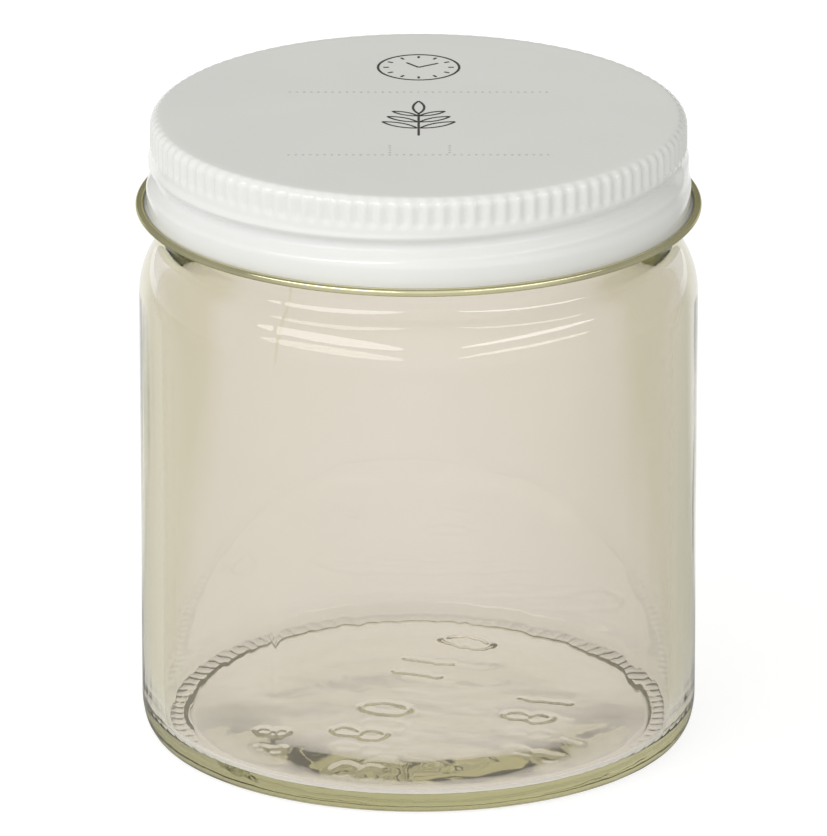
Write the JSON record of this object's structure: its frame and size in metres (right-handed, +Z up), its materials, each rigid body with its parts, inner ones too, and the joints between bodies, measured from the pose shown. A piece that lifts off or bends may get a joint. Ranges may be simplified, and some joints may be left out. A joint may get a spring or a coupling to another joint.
{
  "type": "curing jar",
  "caption": "Clear straight-sided glass jar with a rounded shoulder, threaded neck and white screw-on sheet-metal lid with a soft sealing ring.",
  "frame": {"origin": "middle of the base, on the surface that the jar stands on", "axes": "+Z up along the jar's axis; -Y is the side that faces the viewer"},
  "size_m": [0.061, 0.061, 0.0695],
  "materials": {
    "clear_glass": "fire-polished moulded glass with a faint straw tint",
    "white_enamel": "glossy white enamel outside, gold lacquer inside and on the curled edge",
    "soft_seal": "satin, flowed-in sealing compound"
  },
  "bodies": {
    "jar": {"glass_jar": "clear_glass"},
    "seal": {"liner_ring": "soft_seal"},
    "lid": {"lid_shell": "white_enamel"}
  },
  "joints": [
    {"name": "lid_rise", "type": "slide", "parent": "jar", "child": "seal", "axis": [0, 0, 1], "range_m": [0, 0.01693]},
    {"name": "lid_turn", "type": "hinge", "parent": "seal", "child": "lid", "pos_m": [0, 0, 0.0679], "axis": [0, 0, 1], "range_deg": [0, 1440]}
  ],
  "couplings": [
    {"joint": "lid_rise", "follows": "lid_turn", "m_per_rad": 0.00067322}
  ]
}
